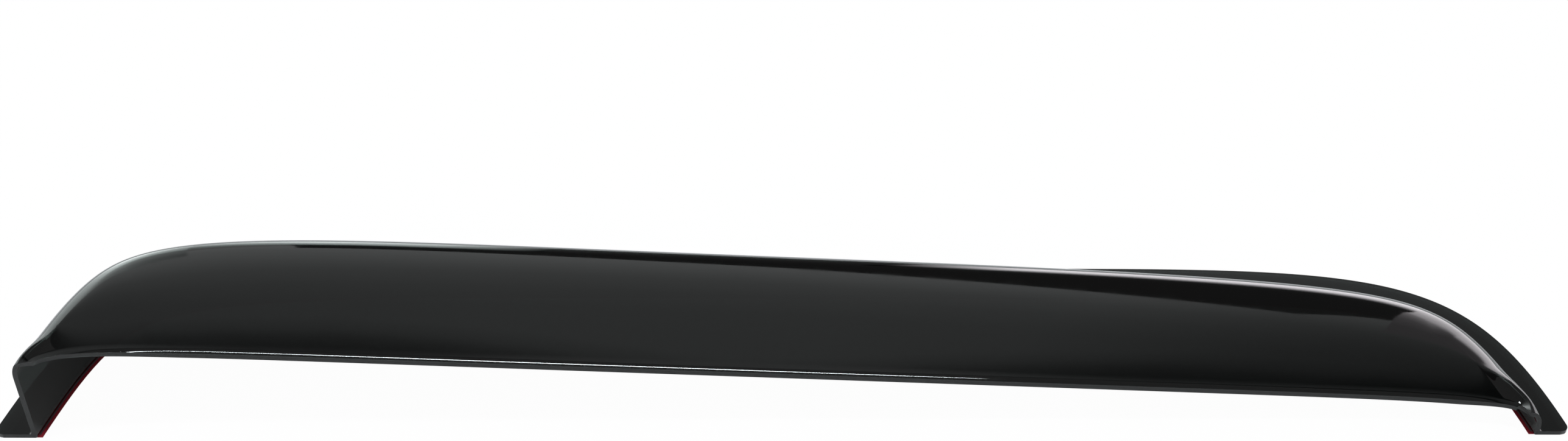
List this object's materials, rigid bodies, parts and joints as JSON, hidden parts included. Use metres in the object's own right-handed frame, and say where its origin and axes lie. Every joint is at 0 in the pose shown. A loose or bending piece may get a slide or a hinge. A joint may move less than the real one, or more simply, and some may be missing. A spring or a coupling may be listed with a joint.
{
  "type": "window rain deflector",
  "caption": "Long arched window rain deflector in dark smoked acrylic, with a flat glue-on flange, a tapering side wall and a broad face with a turned-down lower edge.",
  "frame": {"origin": "middle of the footprint, on the surface that the glued back lies on", "axes": "+X along the door frame from the deep end to the shallow end, +Y up the door, +Z away from the car"},
  "size_m": [0.9478, 0.1534, 0.0635],
  "materials": {
    "smoked_acrylic": "gloss",
    "foam_tape": "matte",
    "red_liner": "gloss"
  },
  "bodies": {
    "root": {"deflector_shell": "smoked_acrylic", "foam_tape": "foam_tape", "release_liner": "red_liner"}
  },
  "joints": []
}
